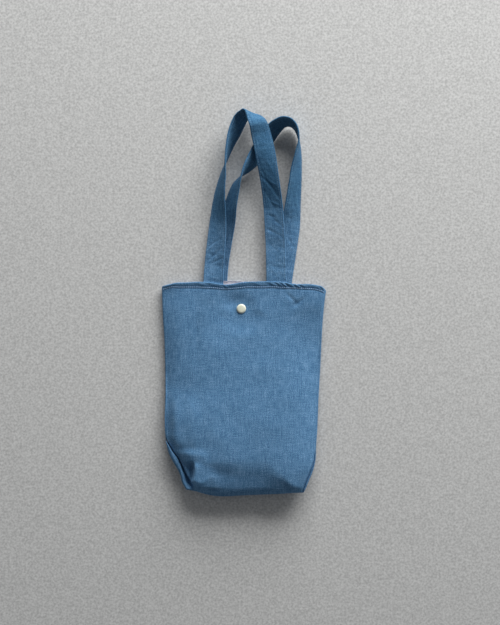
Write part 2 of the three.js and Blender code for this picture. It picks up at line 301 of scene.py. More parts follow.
# the handles' linen, with painted shade along their middle
paintedShadeLinen = wovenCloth("paintedShadeLinen", handleLook)
paleCotton = wovenCloth("paleCotton", cottonLook)
paleThread = sewingThread("paleThread", "#b4d4f2", "#90bae4")
blueThread = sewingThread("blueThread", "#7599b8", "#557c9f")
creamEnamel = pearlEnamel("creamEnamel", "#f7f9e4", "#eceed8")
nickel = nickelPlate("nickelPlate", "#b9bbbd")
print("materials made")


# Routes of the handles

strap = {
    "width": 25, "thickness": 2.0, "edge": 0.9, "rowMm": 1.0, "mouthY": 133.05, "tail": 8,
    "stitchIn": 2.2, "stitchLength": 2.4, "stitchPitch": 3.1, "threadRadius": 0.28,
    "groove": 0.22, "grooveHalf": 0.8,      # the stitches pull the cloth in
}
# height of a strap that lies across the other one, where that one leans at 38 degrees
overLean = strap["width"] * math.sin(math.radians(38)) + strap["thickness"] + 1.2

# each station is (x, distance above the mouth, roll in degrees, height of the lower edge)
frontRoute = [
    (-39.4, 0, 0, 8.45), (-37.8, 26, -12, 6), (-35, 56, -24, 4.4), (-33.3, 79, -37, 2.2),
    (-31.6, 107, -58, 1.5), (-27.2, 134, -76, 1.3), (-22.9, 154, -96, 1.3), (-18.6, 171, -112, 1.4),
    (-12.6, 187.5, -128, 1.6), (-5.8, 202.4, -130, 1.8), (0.2, 210.2, -113, 2.6), (5, 211, -86, 5),
    (10.6, 205.8, -54, overLean - 7), (15.6, 197, -31, overLean + 1), (20, 182, -12, overLean + 1),
    (25, 160, 1, overLean + 2.8), (30, 131, 18, overLean - 3), (33.8, 104, 19, overLean - 7),
    (36.6, 71, 12, overLean - 8.5), (38.3, 39, 5, 9.2), (39.2, 0, 0, 8.45),
]
backRoute = [
    (-34.8, 0, 0, 1.3), (-32.5, 26, -4, 1.7), (-27.5, 54, -13, 1.5), (-22.5, 76, -30, 1.4),
    (-18, 95, -50, 1.3), (-11.9, 117, -65, 1.3), (-5.4, 130.5, -86, 1.3), (1.4, 140.6, -110, 1.3),
    (10.2, 152.5, -129, 1.3), (22, 171, -141, 1.3), (34, 188.5, -136, 1.3), (45.2, 198, -121, 2),
    (55.4, 198.3, -109, 2.4), (63.4, 190.5, -97, 2), (66.9, 176, -88, 1.5), (66.3, 162, -75, 1.3),
    (63.8, 141, -58, 1.3), (62, 120, -50, 1.3), (59.4, 95, -38, 1.3), (56.5, 69, -16, 1.3),
    (51.9, 39, -6, 1.5), (45.9, 0, 0, 1.3),
]


# Body

body = {
    # outline at the height of the seams: its sides as (y, x), its mouth and lower end as (x, y)
    "left": [(-125.1, -73), (-121.5, -75.4), (-115.2, -78.9), (-108.9, -80.2), (-101.9, -83),
             (-93.6, -88), (-79.4, -95.2), (-64.4, -98.5), (-45.6, -99.8), (-1.9, -99.3), (35.6, -99.8),
             (65.6, -100.9), (90.6, -102.5), (113, -103.4), (130.6, -103.8)],
    "right": [(-128.8, 73), (-124.4, 75.3), (-114.4, 79.5), (-101.9, 84.5), (-89.4, 87.5),
              (-71.9, 88.5), (-51.9, 90), (-14.4, 91.6), (23, 93.8), (60.6, 95.6), (90.6, 97.5),
              (110.6, 99.6), (123, 101.3), (130, 101.8)],
    "rim": [(-103.8, 126.9), (-98.8, 128.2), (-93.7, 129.4), (-87.5, 131), (-72.5, 131.6), (-56, 132.4),
            (-40, 131.3), (-29, 129.5), (-24, 128.9), (-16, 129.8), (-8.8, 131.1), (-1, 132), (12.5, 132.7),
            (25, 132.9), (37.5, 132.6), (48.8, 132.1), (54, 131.1), (60, 129.8), (81, 129.4), (91, 127.9),
            (97.5, 125.4), (101.5, 121.9)],
    "end": [(-73, -125.1), (-62.5, -126.9), (-52.5, -129.8), (-43.8, -131.9), (6, -131.9),
            (29, -131), (44, -130.4), (59, -129.4), (73, -128.8)],
    # how far the back panel's rim shows past the front's where it sags
    "backRise": [(-46, 0), (-38, 1.2), (-29, 4.2), (-21, 4.9), (-10, 2.6), (-1, 0.8), (6, 0)],
    "stitchLine": [(-104, 123.4), (-98.8, 125), (-93.7, 126.5), (-81, 126.6), (-56, 126.6), (-37.5, 125.6),
                   (-24, 124.4), (-12.5, 125.3), (0, 126.6), (21, 126.7), (37.5, 126.8), (50, 125.9),
                   (69, 125.1), (84, 124.4), (91, 123.4), (96, 121.6), (101.5, 118.4)],
    # how the front falls to the lower end: (distance from it, share of the full height)
    "endCurve": [(0, 0), (2, 0.15), (5, 0.36), (9, 0.53), (14, 0.63), (22, 0.77), (32, 0.93), (42, 1)],
    # and how much quicker than that towards the sides: (extra, x where it begins, x where it is whole)
    "quicker": [(0.9, 22, 56), (3, 46, 70), (0.7, -42, -56)],
    # how full the front is across: at the mouth, then in the body's left and right half
    "fullness": (5, 2.5, 7), "fullnessFrom": (0.1, 0.8), "depthWhole": 0.86,
    # sewn line of the gusset at the lower right, as (y, x), and the two puckered ridges and the
    # groove along it: distance from it, half width, height, y where it begins and where it is
    # whole, and how far it stays from the side seam
    "gussetSeam": [(-126, 71.9), (-120.4, 73.9), (-113.2, 76.7), (-106, 79.9), (-98.1, 83.1),
                   (-90.9, 85.4), (-82, 86.8), (-60, 88.2)],
    "gussetRidges": [(-2.2, 1.5, 0.9, -70, -96, 0), (2, 1.1, 2, -70, -96, 1), (0, 0.5, -2.6, -62, -92, 0)],
    # unevenness of the front: height, how much finer it is across than down, seed, length of a wave
    "ripples": [(0.2, 1, 3, 46), (0.05, 0.6, 5, 12)],
    "mouthDepth": 9.2, "bodyDepth": 26.5, "seamAtMouth": 4.6, "seamAtEnd": 12.5, "seamAtFold": 8.4,
    "seamRise": (0.35, 0.95),           # shares of the way down between which the seams rise
    "flatAcross": 0.82, "flatDown": 0.91,       # how far the back lies flat on the ground
    "seamRadius": 2.4, "rightRadius": 1.1, "wall": 0.8, "hemWall": 1.6,
    "split": -1.0, "splitRow": 60,      # where the front's left and right pieces meet
    # the grid: nominal width and height, and its steps from places on, closer at the seams,
    # the hem and the folded corner
    "width": 200, "height": 265,
    "columns": [(0, 0.15), (0.6, 0.3), (2.4, 0.6), (42, 1.4), (186, 0.6), (198.4, 0.3), (199.4, 0.15)],
    "rows": [(0, 0.25), (1, 0.45), (12, 1.3), (256, 0.8), (261, 0.4), (264, 0.2)],
}

# the press stud's axis, and the level cloth round it: its height in front and its rise at the
# back, how far it reaches and how it blends out, which in front is slower below it
seat = {
    "x": -4.5, "y": 99.75,
    "front": 8.6, "frontReach": 8, "frontBlend": 16, "blendBelow": 30, "below": (100, 88),
    "back": 1.6, "backReach": 11.2, "backBlend": 15,
}

corner = {
    "slitLevel": 4.4,
    # where the seam's dip begins and where it is whole: y from above and from below, and x
    "dipFrom": (-26, -70), "dipTo": (-127, -116), "dipLeft": (-60, -72),
    # y where each form begins and where it is whole; the panel and the slit end again lower down
    "lipFrom": (-50, -68), "hookFrom": (-98, -110), "lowFrom": (-64, -84), "pocketFrom": (-89, -97),
    "narrowFrom": (-103, -116), "panelFrom": (6, -44), "panelTo": (-126, -121),
    "slitFrom": (-59, -66), "slitTo": (-117.5, -114.5),
    # slit of the folded-in gusset at the lower left, and the pocket's steep side, as (y, x)
    "slit": [(-120, -66), (-116.4, -68.1), (-109.8, -72.1), (-103.3, -75.4), (-92.8, -80),
             (-84.9, -83.9), (-78.4, -89.1), (-71.9, -93), (-64.6, -97.3), (-58, -99)],
    "side": [(-121, -69.5), (-118, -67.9), (-115.9, -66.9), (-109.4, -64.6), (-103, -63.7), (-96.9, -63.3),
             (-90.6, -63.3), (-84, -65)],
    # heights over the lip from its edge in, over its hooked tip, from the slit on to the panel
    # at its upper and lower end, down the pocket's side, and from the slit on to its floor
    "lip": [(0, 8.4), (0.7, 11.6), (1.7, 13.4), (3, 14.1), (5, 14.1), (10, 13.8)],
    "hook": [(0, 8.4), (0.7, 11.4), (1.6, 13.6), (2.8, 14), (4, 12), (5.4, 9.4), (10, 8)],
    "panelHigh": [(0, 9), (0.8, 10.6), (3, 11.8), (6, 14), (10, 17.2), (14, 19), (20, 20.4), (26, 21.3),
                  (34, 22.5), (42, 23.4), (50, 24)],
    "panelLow": [(0, 9), (0.8, 12.2), (2, 14.2), (4, 16), (6, 17.4), (9, 19), (12, 20.2), (16, 21.8),
                 (22, 23.4), (30, 24.5), (50, 25.2)],
    "pocket": [(-14, 24.2), (-6, 24.5), (-2.4, 24.5), (-1, 23.6), (0, 20.4), (0.9, 15.6), (2, 13.4),
               (6, 14.2), (10, 15), (14, 15.4)],
    "floor": [(0, 9), (0.8, 12), (2, 13.6), (6, 15), (9, 17), (13, 25), (20, 26)],
}


def stretches(marks, end):
    # shares from 0 to 1 of the way to an end, with a step of its own from each mark on
    starts = [start for start, _ in marks] + [end]
    parts = [np.arange(a, b - step / 2, step) for (a, step), b in zip(marks, starts[1:])]
    return np.append(np.concatenate(parts), end) / end


def spanned(line, share):
    # heights of an outline at shares of the way from its first point to its last
    return through(line, mix(line[0][0], line[-1][0], share))


def bodyGrid():
    across, down = np.meshgrid(stretches(body["columns"], body["width"]),
                               stretches(body["rows"], body["height"]))
    top, bottom = spanned(body["rim"], across), spanned(body["end"], across)
    y = mix(top, bottom, down)
    left, right = through(body["left"], y), through(body["right"], y)
    x = mix(left, right, across)
    return down, x, y, x - left, right - x, top - y, y - bottom


# share of the way down from the mouth, place, and distances from the four edges
wayDown, bodyX, bodyY, fromLeft, fromRight, fromRim, fromEnd = bodyGrid()
fromStud = np.hypot(bodyX - seat["x"], bodyY - seat["y"])


def rounded(distance, reach):
    # quarter circle from 0 at an edge to 1 at that reach from it
    return np.sqrt(np.clip(1 - (1 - np.clip(distance / reach, 0, 1)) ** 2, 0, 1))


# the side seams rise towards the lower end, and dip at the folded corner
dip = smooth(*corner["dipFrom"], bodyY) * smooth(*corner["dipTo"], bodyY) * smooth(*corner["dipLeft"], bodyX)
seamLevel = mix(body["seamAtMouth"], body["seamAtEnd"], smooth(*body["seamRise"], wayDown))
seamLevel = mix(seamLevel, body["seamAtFold"], dip)
radius = body["seamRadius"]
sideways = np.clip(2 * (fromLeft - radius) / (fromLeft + fromRight - 2 * radius) - 1, -1, 1)
seamRound = rounded(fromLeft, radius) * rounded(fromRight, body["rightRadius"]) * rounded(fromEnd, radius)


def foldedCorner(z, endLevel, backZ):
    # the gusset's lower left corner: a lip with a hooked tip, a slit, and a pocket beside it
    beyond = bodyX - through(corner["slit"], bodyY)
    edge = (np.maximum(fromLeft * 0.87, 0.01) ** -4 + np.maximum(fromEnd, 0.01) ** -4) ** -0.25
    hook = smooth(*corner["hookFrom"], bodyY)
    lip = mix(through(corner["lip"], edge), through(corner["hook"], edge), hook)
    lip = lip + (seamLevel - body["seamAtFold"]) * np.exp(-edge / 1.2)     # its edge meets the seam
    lip = mix(z, lip, smooth(*corner["lipFrom"], bodyY))

    high, low = through(corner["panelHigh"], beyond), through(corner["panelLow"], beyond)
    panel = mix(high, low, smooth(*corner["lowFrom"], bodyY))
    floor = through(corner["floor"], beyond * mix(1, 4, smooth(*corner["narrowFrom"], bodyY)))
    pocket = through(corner["pocket"], through(corner["side"], bodyY) - bodyX)
    panel = mix(panel, np.minimum(floor, pocket), smooth(*corner["pocketFrom"], bodyY))
    panel = np.minimum(panel, endLevel)     # it comes down with the lower end
    there = smooth(*corner["panelFrom"], bodyY) * smooth(*corner["panelTo"], bodyY)
    panel = mix(z, panel, there * smooth(50, 30, beyond))

    reach = mix(0.7, 6, smooth(-115, -121, bodyY))
    both = mix(lip, panel, smooth(-reach, reach, beyond))
    slit = np.exp(-(beyond / mix(0.8, 1.4, smooth(-92, -104, bodyY))) ** 4)
    slit = slit * smooth(*corner["slitTo"], bodyY) * smooth(*corner["slitFrom"], bodyY)
    return mix(both, np.maximum(corner["slitLevel"], backZ + 0.8), slit)


# soft folds of the front: place, reach along and across, turn, height
frontFolds = [
    (-86, -48, 42, 4, 90, 0.6), (-71, -74.5, 14, 5.5, 0, -1.3), (-75, 36, 56, 8.5, 70, -2.4),
    (78, 112, 26, 30, 0, 2.4), (52, -104, 26, 26, 0, 1.6), (78, 62, 26, 30, 0, -1.4),
    (-50, -8, 50, 40, 0, -2.2), (-84, 90, 50, 14, 90, 1.2), (97, 116, 30, 24, 45, 1.2),
    (57.5, 113, 8, 2.4, -45, -0.8), (67.5, 108, 9, 2.4, 38, -0.9), (61, 105, 5, 4, 0, -0.6),
    (-14, 108, 12, 10, 0, -1.8), (-24, -104, 20, 9, 0, -1), (-60, 66, 44, 3.5, 90, -0.4),
]

hem = {
    # folded rim from its edge down, as (distance, height), and where the stitches lie on it
    "profile": [(0, 1.55), (1, 1.48), (2.5, 1.22), (4, 0.78), (5.2, 0.25), (5.7, 0), (11, 0)],
    "stitchAt": 6.2,
    # rope-like folds across it: place, height, half width
    "strokes": [(29.4, -0.42, 3.2), (34.5, 0.35, 1.6), (40.4, -0.84, 1.6), (43.4, 0.56, 1.2),
                (46, -0.63, 1.2), (49.5, 0.63, 1.3), (53, -1.12, 1.7), (60.5, 0.49, 1.4),
                (64.1, -0.98, 1.5), (67.6, 0.56, 1.3), (71, -0.84, 1.6), (75, 0.35, 1.6),
                (96.5, -0.7, 2), (-25.2, -0.77, 1.7), (-22, 0.56, 0.9), (-18.8, -0.63, 1.8),
                (-53, 0.35, 4), (-62, -0.21, 5), (-45, -0.28, 4), (16, 0.35, 3), (8, -0.21, 4)],
    "strokeAt": 3, "strokeReach": 2.4, "lean": 1.5, "leanFrom": 2.7,
}


def hemBand():
    # folded rim: highest near the edge, it slopes down to a groove along the stitches
    drop = through(body["rim"], bodyX) - through(body["stitchLine"], bodyX)
    down = fromRim * hem["stitchAt"] / drop
    band = through(hem["profile"], down)
    for place, height, half in hem["strokes"]:
        across = bodyX - place - (fromRim - hem["leanFrom"]) * hem["lean"]
        band = band + height * bell(across, half) * bell(down - hem["strokeAt"], hem["strokeReach"])
    return band * smooth(0, 5, fromLeft) * smooth(0, 5, fromRight)


def frontSurface(backZ):
    depth = mix(body["mouthDepth"], body["bodyDepth"], smooth(0, body["depthWhole"], wayDown))
    mouthFull, leftFull, rightFull = body["fullness"]
    fullness = mix(mouthFull, mix(leftFull, rightFull, smooth(-0.3, 0.3, sideways)),
                   smooth(*body["fullnessFrom"], wayDown))
    crown = 1 - np.abs(sideways) ** fullness
    quicker = sum(extra * smooth(start, whole, bodyX) for extra, start, whole in body["quicker"])
    end = (depth - radius - seamLevel) * through(body["endCurve"], fromEnd * (1 + quicker))
    z = seamLevel + end * crown + radius * seamRound
    z = foldedCorner(z, seamLevel + end + radius * rounded(fromEnd, radius), backZ)

    away = bodyX - through(body["gussetSeam"], bodyY)
    for place, half, height, start, whole, inset in body["gussetRidges"]:
        clear = smooth(inset - 1, inset, fromRight)
        z += height * bell(away - place, half) * smooth(start, whole, bodyY) * clear

    blend = mix(seat["frontBlend"], seat["blendBelow"], smooth(*seat["below"], bodyY))
    z = mix(z, seat["front"], 1 - smooth(0, blend, fromStud - seat["frontReach"]))
    held = smooth(0, 2.4, fromLeft) * smooth(0, 4, fromRight) * smooth(0, 4, fromEnd)
    for spot in frontFolds:
        z = z + hump(bodyX, bodyY, spot) * held
    for height, squeeze, seed, size in body["ripples"]:
        z = z + height * ripple(bodyX, bodyY * squeeze, seed, size) * held * smooth(0, 12, fromRim)
    return z + hemBand()


def underSurface():
    # flat on the ground, it turns up to the seams
    flat = 1 - smooth(body["flatAcross"], 1, np.abs(sideways))
    flat = flat * (1 - smooth(body["flatDown"], 1, wayDown))
    z = mix(seamLevel, radius, flat) - radius * seamRound
    return z + seat["back"] * (1 - smooth(0, seat["backBlend"], fromStud - seat["backReach"]))


def surface(z, rise=0, inset=0):
    # points of one surface of the body; its rim may stand higher than the front's, and its
    # sides and end may lie inside the seams
    x = bodyX + inset * (np.exp(-fromLeft / 1.5) - np.exp(-fromRight / 1.5))
    y = bodyY + inset * np.exp(-fromEnd / 1.5) + rise * smooth(16, 0, fromRim)
    return np.stack([x, y, z], axis=2)


def shell(outer, wall, towards):
    # two surfaces of one panel, joined round the mouth by a round nose; towards is 1 for a
    # panel that faces up and -1 for one that faces down
    inner = outer - normalsOf(outer) * towards * wall[..., None]
    middle, half = (outer[0] + inner[0]) / 2, (outer[0] - inner[0]) / 2
    reach = np.linalg.norm(half, axis=1, keepdims=True) * np.array([0, 1, 0])
    nose = [middle + half * math.cos(a) + reach * math.sin(a) for a in np.linspace(math.pi, 0, 7)[1:-1]]
    return np.concatenate([inner[::-1], np.array(nose), outer])


def clothPlaces(points):
    # lengths along the cloth itself, from its middle and from the rim
    across = np.cumsum(np.linalg.norm(np.diff(points, axis=1, prepend=points[:, :1]), axis=2), axis=1)
    down = np.cumsum(np.linalg.norm(np.diff(points, axis=0, prepend=points[:1]), axis=2), axis=0)
    middle, rim = [points.shape[1] // 2], points.shape[0] // 2
    return np.stack([points[:, middle, 0] + across - across[:, middle],
                     points[rim, :, 1] + down[rim] - down, 0 * down], axis=2)


def addPanel(name, points, columns, material):
    # a shell's columns as one closed piece: narrow faces close its two sides and its end
    part, cloth = points[:, columns], clothPlaces(points)[:, columns]
    count = np.arange(part[..., 0].size).reshape(part.shape[:2])
    half = len(count) // 2
    sides = [count[:, 0].tolist(), count[:, -1].tolist()]
    edges = [[side[i], side[i + 1], side[-i - 2], side[-i - 1]] for side in sides for i in range(half - 1)]
    edges += [side[half - 1:half + 2] for side in sides]
    ends = np.stack([count[0, :-1], count[0, 1:], count[-1, 1:], count[-1, :-1]], axis=1).tolist()
    return addPiece(name, part, gridFaces(*part.shape[:2]), material, cloth, edges + ends)


backZ = underSurface()
frontZ = frontSurface(backZ)
backRise = through(body["backRise"], bodyX)
frontTop, backTop = surface(frontZ), surface(backZ, backRise)
hemWall = mix(body["wall"], body["hemWall"], smooth(7, 4, fromRim))
frontShell, backShell = shell(frontTop, hemWall, 1), shell(backTop, hemWall, -1)

middleColumn = int(np.argmin(np.abs(bodyX[body["splitRow"]] - body["split"])))
leftHalf, rightHalf = slice(0, middleColumn + 1), slice(middleColumn, None)
outerFrontLeft = addPanel("outer_front_left", frontShell, leftHalf, blueLinen)
outerFrontRight = addPanel("outer_front_right", frontShell, rightHalf, blueLinen)
outerBack = addPanel("outer_back_panel", backShell, slice(None), blueLinen)

# Lining: a thin sheet inside each panel
lining = {
    "gap": 1.0, "wall": 0.4, "inset": 1.3, "apart": 0.1,
    "underFolds": 6,        # grid columns on each side of a narrow fold that it stays below
    "frontDrop": 2.4, "frontRise": -0.8, "backLift": 0.9,       # at the mouth
    # at the back it passes over the handle's sewn-in ends: how much, and where that fades out
    "overEnds": 0.7, "aside": (19, 13), "down": (20, 8),
    # how far its rim shows past the back panel's
    "rise": [(-36, -1.5), (-29.5, 0.3), (-26, 0.6), (-22, 0.1), (-19, 1.1), (-16, 0.4), (-13, 0.9),
             (-10, 0.3), (-7, 1.2), (-3.5, 0.7), (-1, 0.4), (3, -1.5)],
}
liningIn = body["wall"] + lining["gap"]
nearby = range(-lining["underFolds"], lining["underFolds"] + 1)
lowest = np.minimum.reduce([np.roll(frontZ, k, axis=1) for k in nearby])
halfWay = (lowest + backZ) / 2      # the front's lining stays above it, and the back's below
liningFrontZ = lowest - liningIn - lining["frontDrop"] * smooth(12, 4, fromRim)
liningFrontZ = np.maximum(liningFrontZ, halfWay + lining["apart"])
liningBackZ = np.minimum(backZ + liningIn, halfWay - lining["apart"])
liningBackZ = liningBackZ + lining["backLift"] * np.exp(-fromRim / 1.2)
for root in (backRoute[0][0], backRoute[-1][0]):
    over = smooth(*lining["aside"], np.abs(bodyX - root)) * smooth(*lining["down"], fromRim)
    liningBackZ = liningBackZ + lining["overEnds"] * over
liningRise = backRise + through(lining["rise"], bodyX)
liningWall = np.full_like(bodyX, lining["wall"])
liningFront = shell(surface(liningFrontZ, lining["frontRise"], lining["inset"]), liningWall, 1)
liningBack = shell(surface(liningBackZ, liningRise, lining["inset"]), liningWall, -1)
liningFrontLeft = addPanel("lining_front_left", liningFront, leftHalf, paleCotton)
liningFrontRight = addPanel("lining_front_right", liningFront, rightHalf, paleCotton)
liningBackPanel = addPanel("lining_back_panel", liningBack, slice(None), paleCotton)
print("body panels made")


# Handles

# creases pressed in while the handles were folded: distance from the left end, or from the
# right one where it is negative, slant, depth, reach; then soft wrinkles: the same distance,
# place across, reach along and across, turn, height
frontCreases = [(29, 0.1, -0.5, 7), (-100, 0.05, -1, 9), (-53, 0.22, -0.6, 9), (-27, 0.15, -0.35, 3),
                (8.5, 0, -0.9, 3), (-8.5, 0, -0.5, 3)]
frontWrinkles = [(-124, 3, 12, 1.6, 35, -0.6), (-134, -4, 12, 1.6, 40, -0.55), (-116, 6, 9, 1.4, 30, -0.55),
                 (-110, -3, 10, 1.5, 25, -0.5), (-129, 6, 8, 1.3, 50, 0.4), (-106, 2, 9, 1.3, 60, 0.4),
                 (-150, 4, 13, 2, 20, 0.4), (-142, -6, 10, 1.4, 15, -0.4), (-72, -5, 9, 2, 60, -0.5),
                 (-82, 4, 8, 1.8, 45, -0.5), (-90, -3, 9, 1.6, 70, -0.4), (36, -5, 9, 1.3, -60, -0.5),
                 (40, 2, 9, 1.4, -50, -0.6), (47, -3, 9, 1.4, -45, -0.5), (52, 5, 8, 1.2, -40, 0.4),
                 (56, 3, 9, 1.5, -50, -0.5), (68, -2, 9, 1.5, -30, -0.4)]
backCreases = [(30, 0, -0.6, 6), (-30, 0.1, -0.6, 6), (-88, 0.15, -0.6, 7)]
backWrinkles = [(-60, 2, 10, 2, 35, -0.35), (-110, 0, 14, 2.2, 20, -0.35), (-135, 3, 12, 2, -15, 0.3),
                (70, 2, 12, 2, 15, -0.3)]


def strapFrames(route, tailZ):
    # places along the strap, centres, wide and thick directions, with a tail sewn in at each end
    x, beyond, turn, low = np.array(route, float).T
    centre = np.stack([x, strap["mouthY"] + beyond,
                       low + strap["width"] / 2 * np.sin(np.radians(np.abs(turn)))], axis=1)
    index = np.arange(len(route))
    fine = np.linspace(0, len(route) - 1, 4000)
    line = np.stack([through(np.stack([index, centre[:, k]], axis=1), fine) for k in range(3)], axis=1)
    roll = through(np.stack([index, turn], axis=1), fine)
    tail = np.linspace(strap["tail"], 0, 40)[:-1, None]
    sunk = [0, 0, tailZ] * smooth(0, strap["tail"], tail) - [0, 1, 0] * tail
    line = np.concatenate([line[0] + sunk, line, (line[-1] + sunk)[::-1]])
    roll = np.concatenate([np.zeros(len(tail)), roll, np.zeros(len(tail))])
    length = lengthsAlong(line)
    rows = np.linspace(0, length[-1], int(length[-1] / strap["rowMm"]))
    line = placesAt(rows, length, line)
    roll = np.radians(np.interp(rows, length, roll))
    tangent = np.gradient(line, axis=0)
    tangent /= np.linalg.norm(tangent, axis=1, keepdims=True)
    across = np.cross([0, 0, 1], tangent)
    across /= np.linalg.norm(across, axis=1, keepdims=True)
    above = np.cross(tangent, across)
    c, s = np.cos(roll)[:, None], np.sin(roll)[:, None]
    return rows, line, across * c + above * s, above * c - across * s


def strapSection():
    # half of the ring is a rounded edge and a flat face, and the other half is the same, turned
    half, thick, edge = strap["width"] / 2, strap["thickness"] / 2, strap["edge"]
    nose = [(half - edge + edge * math.cos(a), thick * math.sin(a)) for a in np.linspace(-1.35, 1.35, 7)]
    top = [(w, thick) for w in np.linspace(half - 1.3, -half + 1.3, 34)]
    ring = nose + top
    ring += [(-w, -h) for w, h in ring]
    return np.array(ring)


def strapLift(along, w, length, creases, wrinkles, seed):
    # how far the strap's cloth stands off its flat form
    lift = 0.16 * ripple(along * 0.7, w * 1.4, seed, 26) + 0.08 * ripple(along, w, seed + 1, 7)
    for place, slant, depth, reach in creases:
        away = along - place % length - slant * w
        lift = lift + depth * np.exp(-np.sqrt(away ** 2 + 1.2) / reach)
    for place, *rest in wrinkles:
        lift = lift + hump(along, w, (place % length, *rest))
    return lift


def addStrap(name, route, creases, wrinkles, tailZ, seed):
    rows, line, wide, thick = strapFrames(route, tailZ)
    ring = strapSection()
    w, h = ring.T
    stitchedAt = strap["width"] / 2 - strap["stitchIn"]
    groove = strap["groove"] * bell(np.abs(w) - stitchedAt, strap["grooveHalf"])
    along = rows[:, None] + 0 * w
    lift = strapLift(along, w[None, :] + 0 * along, rows[-1], creases, wrinkles, seed)
    height = h - groove * np.sign(h) + lift
    points = line[:, None] + wide[:, None] * w[None, :, None] + thick[:, None] * height[..., None]
    girth = np.cumsum(np.hypot(*np.diff(np.vstack([ring, ring[:1]]), axis=0).T))
    cloth = np.stack([np.broadcast_to(girth, along.shape), along, 0 * along], axis=2)
    caps = endCaps(len(rows), len(ring))
    piece = addPiece(name, points, gridFaces(len(rows), len(ring), loop=True), paintedShadeLinen, cloth, caps)

    # where the stitches lie: two rows on each face
    seams = []
    for at in (-stitchedAt, stitchedAt):
        lifted = strapLift(rows, at + 0 * rows, rows[-1], creases, wrinkles, seed)
        for face in (-1, 1):
            level = face * (strap["thickness"] / 2 - 0.16) + lifted
            seams.append(line + wide * at + thick * level[:, None])
    return piece, seams


# a stitch from end to end, as (share of its length, share of its radius)
stitchRings = [(0.0, 0.25), (0.12, 0.85), (0.5, 1.0), (0.88, 0.85), (1.0, 0.25)]
stitchSides = 6


def addStitches(name, paths, look, material):
    # short round stitches that lie along each path
    share, swell = np.array(stitchRings).T
    around = np.linspace(0, 2 * math.pi, stitchSides, endpoint=False)[:, None]
    oneFaces = gridFaces(len(stitchRings), stitchSides, loop=True)
    oneCaps = np.array(endCaps(len(stitchRings), stitchSides))
    points, faces, caps = [], [], []
    for path in paths:
        run = lengthsAlong(path)
        start = 0.4
        while start + look["stitchLength"] < run[-1] - 0.3:
            middles = placesAt(start + look["stitchLength"] * share, run, path)
            direction = middles[-1] - middles[0]
            direction /= np.linalg.norm(direction)
            side = np.cross(direction, [0.31, 0.23, 0.92])      # never along a strap or a hem
            side /= np.linalg.norm(side)
            spokes = side * np.cos(around) + np.cross(side, direction) * np.sin(around)
            first = len(points) * len(share) * stitchSides
            points.append(middles[:, None] + spokes * look["threadRadius"] * swell[:, None, None])
            faces.append(oneFaces + first)
            caps += (oneCaps + first).tolist()
            start += look["stitchPitch"]
    return addPiece(name, np.array(points), np.concatenate(faces), material, None, caps)


frontStrap, frontSeams = addStrap("front_strap", frontRoute, frontCreases, frontWrinkles, -0.9, 21)
backStrap, backSeams = addStrap("back_strap", backRoute, backCreases, backWrinkles, 0, 31)
frontStitches = addStitches("front_strap_stitches", frontSeams, strap, blueThread)
backStitches = addStitches("back_strap_stitches", backSeams, strap, blueThread)
print("handles made")


# Hem stitches on the front panel, and on the back one

hemSeam = {
    "stitchPitch": 2.6, "stitchLength": 1.9, "threadRadius": 0.46, "frontLift": 0.5, "backLift": -0.2,
    "margin": 6,        # grid columns without stitches at each side seam
}


def hemPath(points, lift, first, last):
    # for each column, the point where the stitches lie
    drop = through(body["rim"], bodyX[0]) - through(body["stitchLine"], bodyX[0])
    path = [placesAt([drop[column]], fromRim[:, column], points[:, column])[0]
            for column in range(first, last)]
    return np.array(path) + [0, 0, lift]


firstColumn, lastColumn = hemSeam["margin"], bodyX.shape[1] - hemSeam["margin"]
hemLeft = hemPath(frontTop, hemSeam["frontLift"], firstColumn, middleColumn + 1)
hemRight = hemPath(frontTop, hemSeam["frontLift"], middleColumn, lastColumn)
hemBack = hemPath(backTop, hemSeam["backLift"], firstColumn, lastColumn)
hemLeftStitches = addStitches("hem_stitches_left", [hemLeft], hemSeam, paleThread)
hemRightStitches = addStitches("hem_stitches_right", [hemRight], hemSeam, paleThread)
hemBackStitches = addStitches("hem_stitches_back", [hemBack], hemSeam, paleThread)


# Press stud

snap = {
    "sides": 64, "capDiameter": 11.6, "capDome": 1.65, "backDome": 1.3,
    "rim": 0.86, "square": 0.65,        # the rolled rim's height, and how the face is flattened
    "post": 2.6, "postLength": 1.8, "stud": 4.2, "studHeight": 1.9, "flange": 10.4,
    "flangeHeight": 0.7, "socketHeight": 2.4, "frontSeat": 8.9, "flangeBottom": 3.4, "socketBottom": 4.4,
}


def turned(name, profile, z, up, material):
    # a pressed and turned piece about the stud's axis; profile holds (radius, height)
    radius, height = np.array(profile, float).T
    angles = np.linspace(0, 2 * math.pi, snap["sides"], endpoint=False)
    x = seat["x"] + radius[:, None] * np.cos(angles)
    y = seat["y"] + radius[:, None] * np.sin(angles) * up
    points = np.stack([x, y, np.broadcast_to(z + up * height[:, None], x.shape)], axis=2)
    faces, caps = gridFaces(*x.shape, loop=True), endCaps(*x.shape)
    return addPiece(name, points, faces, material, None, caps)


def capProfile(dome):
    # domed face with a rolled rim, and a hollow underside round the post
    r, post, down, rim = snap["capDiameter"] / 2, snap["post"] / 2, -snap["postLength"], snap["rim"]
    line = [(0.01, down), (post - 0.1, down), (post, down + 0.15), (post, 0.1), (r - 0.9, 0.05),
            (r - 0.35, 0.0), (r - 0.08, 0.12), (r, 0.35), (r - 0.1, 0.6), (r - 0.35, 0.78), (r - 0.7, rim)]
    for angle in np.linspace(0.12, 0.92, 11) * math.pi / 2:
        out, up = math.cos(angle) ** snap["square"], math.sin(angle) ** snap["square"]
        line.append(((r - 0.8) * out, rim + (dome - rim) * up))
    return line + [(0.01, dome)]


